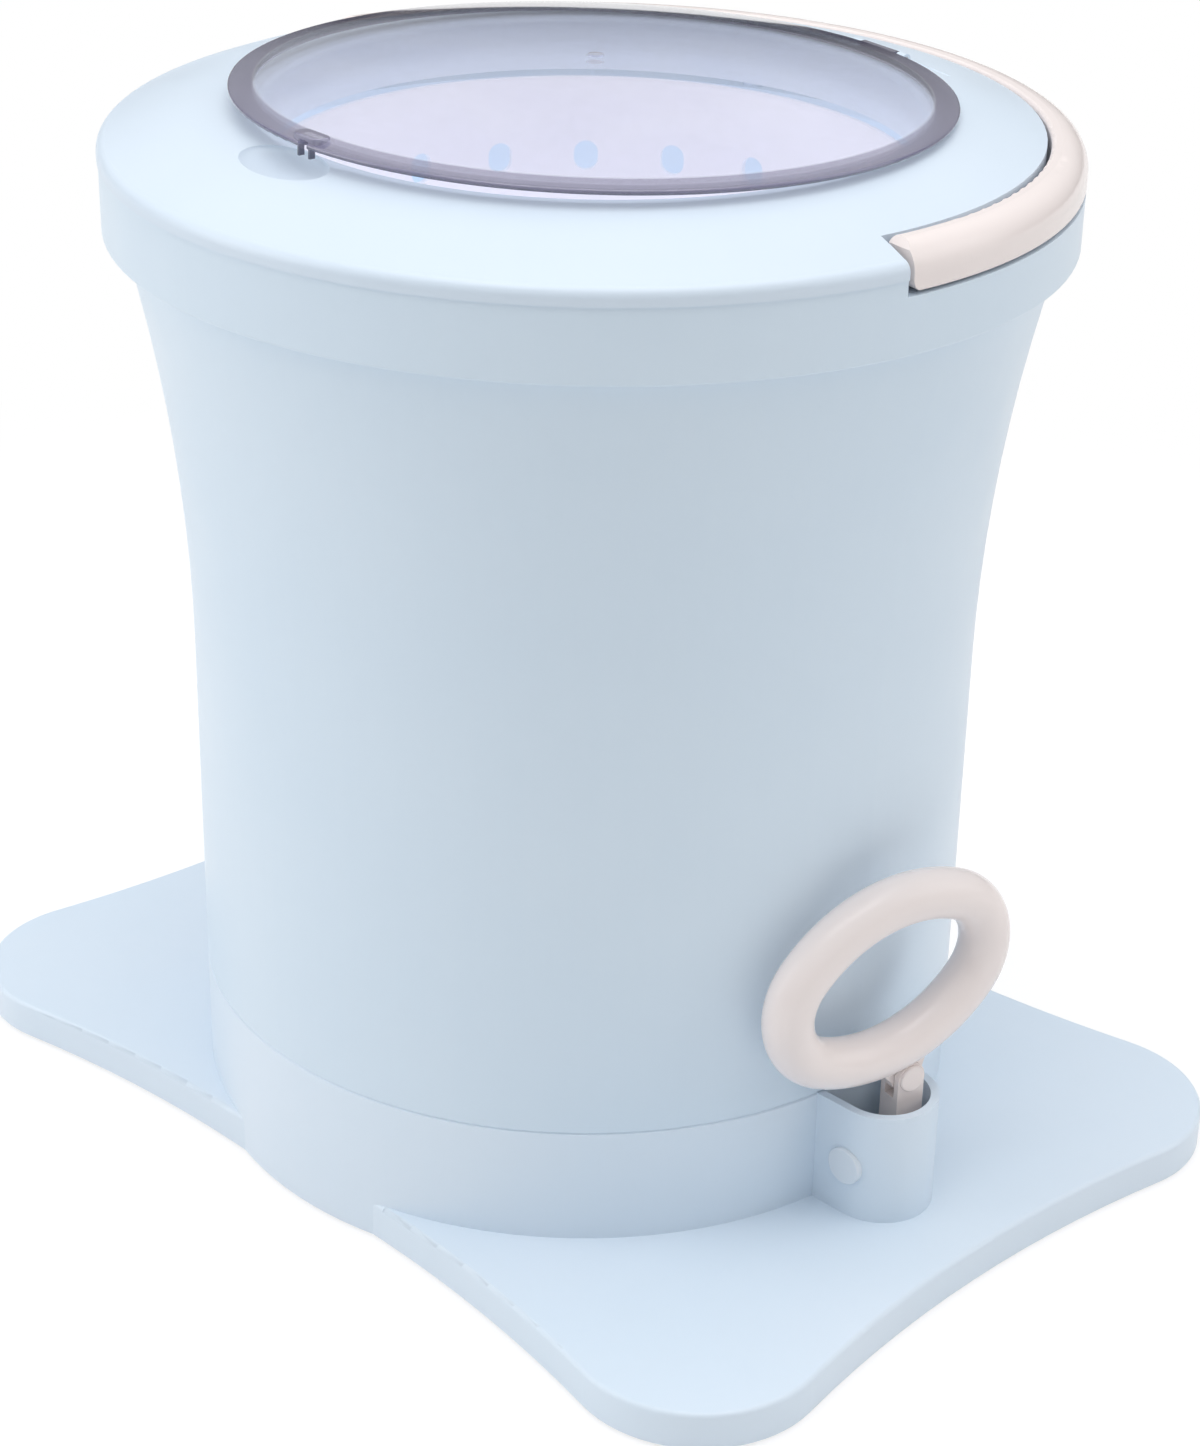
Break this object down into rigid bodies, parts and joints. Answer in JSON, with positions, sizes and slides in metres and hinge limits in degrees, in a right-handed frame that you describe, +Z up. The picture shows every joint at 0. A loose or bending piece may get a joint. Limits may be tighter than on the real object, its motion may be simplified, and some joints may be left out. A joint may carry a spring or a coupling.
{
  "type": "laundry spin dryer",
  "caption": "Hand-pull laundry spin dryer: flared tub on a waisted foot plate, perforated basket on a shaft, hinged clear lid, carry handle and a pull loop on a cord.",
  "frame": {"origin": "on the floor under the basket's shaft, the centre of the foot plate", "axes": "+Z up along the shaft; +X along the foot plate's long side, towards the pull channel; +Y completes the right-handed frame"},
  "size_m": [0.406, 0.3224, 0.3832],
  "materials": {
    "base_plastic": "pale blue-white moulded plastic, satin gloss",
    "tub_plastic": "pale blue-white moulded plastic, glossy",
    "cover_plastic": "pale blue-white moulded plastic, glossy",
    "lid_clear": "clear moulded plastic with a smoky rim",
    "cream_plastic": "warm cream moulded plastic, glossy",
    "basket_plastic": "white moulded plastic, satin",
    "inner_plastic": "light grey moulded plastic",
    "nylon": "natural nylon",
    "steel": "ground steel",
    "spring_steel": "blued spring steel",
    "screw_steel": "zinc-plated steel",
    "rubber": "moulded rubber",
    "cord_fibre": "braided cord"
  },
  "bodies": {
    "housing": {"base_housing": "base_plastic", "bottom_cover": "inner_plastic", "bottom_screws": "screw_steel", "rubber_foot_1": "rubber", "rubber_foot_2": "rubber", "rubber_foot_3": "rubber", "rubber_foot_4": "rubber", "outer_tub": "tub_plastic", "tub_screws": "screw_steel", "drain_spout": "inner_plastic", "collar_ring": "tub_plastic", "top_cover": "cover_plastic", "cover_screws": "screw_steel", "handle_pivot_left": "steel", "handle_pivot_right": "steel", "lid_hinge_pin": "steel", "upper_bearing_outer_race": "steel", "upper_bearing_balls": "steel", "lower_bearing_outer_race": "steel", "lower_bearing_balls": "steel", "housing_circlip": "spring_steel", "shaft_seal": "rubber", "spring_case": "inner_plastic", "spring_case_screws": "screw_steel", "spring_case_lid": "inner_plastic", "return_spring": "spring_steel", "cord_eyelet": "nylon", "cord_run": "cord_fibre", "roller_axle": "cream_plastic", "axle_spacers": "nylon", "axle_clip": "spring_steel"},
    "basket_and_shaft": {"basket": "basket_plastic", "basket_cap": "basket_plastic", "spin_shaft": "steel", "hub_flange": "steel", "shaft_washer": "steel", "shaft_nut": "screw_steel", "upper_bearing_inner_race": "steel", "lower_bearing_inner_race": "steel", "shaft_circlip": "spring_steel"},
    "lid": {"lid": "lid_clear"},
    "carry_handle": {"carry_handle": "cream_plastic"},
    "cord_spool": {"cord_spool": "nylon", "one_way_bearing_cup": "steel", "one_way_bearing_rollers": "steel", "wound_cord": "cord_fibre"},
    "guide_roller": {"guide_roller": "nylon"},
    "pull_shank": {"pull_shank": "cream_plastic", "loop_pin": "cream_plastic", "cord_riser": "cord_fibre"},
    "pull_loop": {"pull_loop": "cream_plastic"}
  },
  "joints": [
    {"name": "lid_hinge", "type": "hinge", "parent": "housing", "child": "lid", "pos_m": [0.01912, 0.1207, 0.3676], "axis": [-0.9877, 0.1564, 0], "range_deg": [-1.12, 98.88]},
    {"name": "handle_hinge", "type": "hinge", "parent": "housing", "child": "carry_handle", "pos_m": [0.00086, 0.00543, 0.3572], "axis": [0.9877, -0.1564, 0], "range_deg": [0, 100]},
    {"name": "basket_spin", "type": "hinge", "parent": "housing", "child": "basket_and_shaft", "pos_m": [0, 0, 0.1], "axis": [0, 0, 1], "continuous": true},
    {"name": "pull_slide", "type": "slide", "parent": "housing", "child": "pull_shank", "axis": [0.1392, 0, 0.9903], "range_m": [0, 0.45], "stiffness_N_per_m": 15, "springref_m": -0.2, "deforming": ["cord_riser"]},
    {"name": "spool_spin", "type": "hinge", "parent": "housing", "child": "cord_spool", "pos_m": [0, 0, 0.0285], "axis": [0, 0, -1], "range_deg": [0, 1210]},
    {"name": "roller_spin", "type": "hinge", "parent": "housing", "child": "guide_roller", "pos_m": [0.149, 0.0025, 0.034], "axis": [0, -1, 0], "range_deg": [0, 4700]},
    {"name": "loop_swivel", "type": "hinge", "parent": "pull_shank", "child": "pull_loop", "pos_m": [0.1545, 0.0025, 0.0652], "axis": [0.9759, -0.2181, 0], "range_deg": [-60, 27]}
  ],
  "couplings": [
    {"joint": "spool_spin", "follows": "pull_slide", "rad_per_m": 46.512},
    {"joint": "roller_spin", "follows": "pull_slide", "rad_per_m": 181.82}
  ]
}
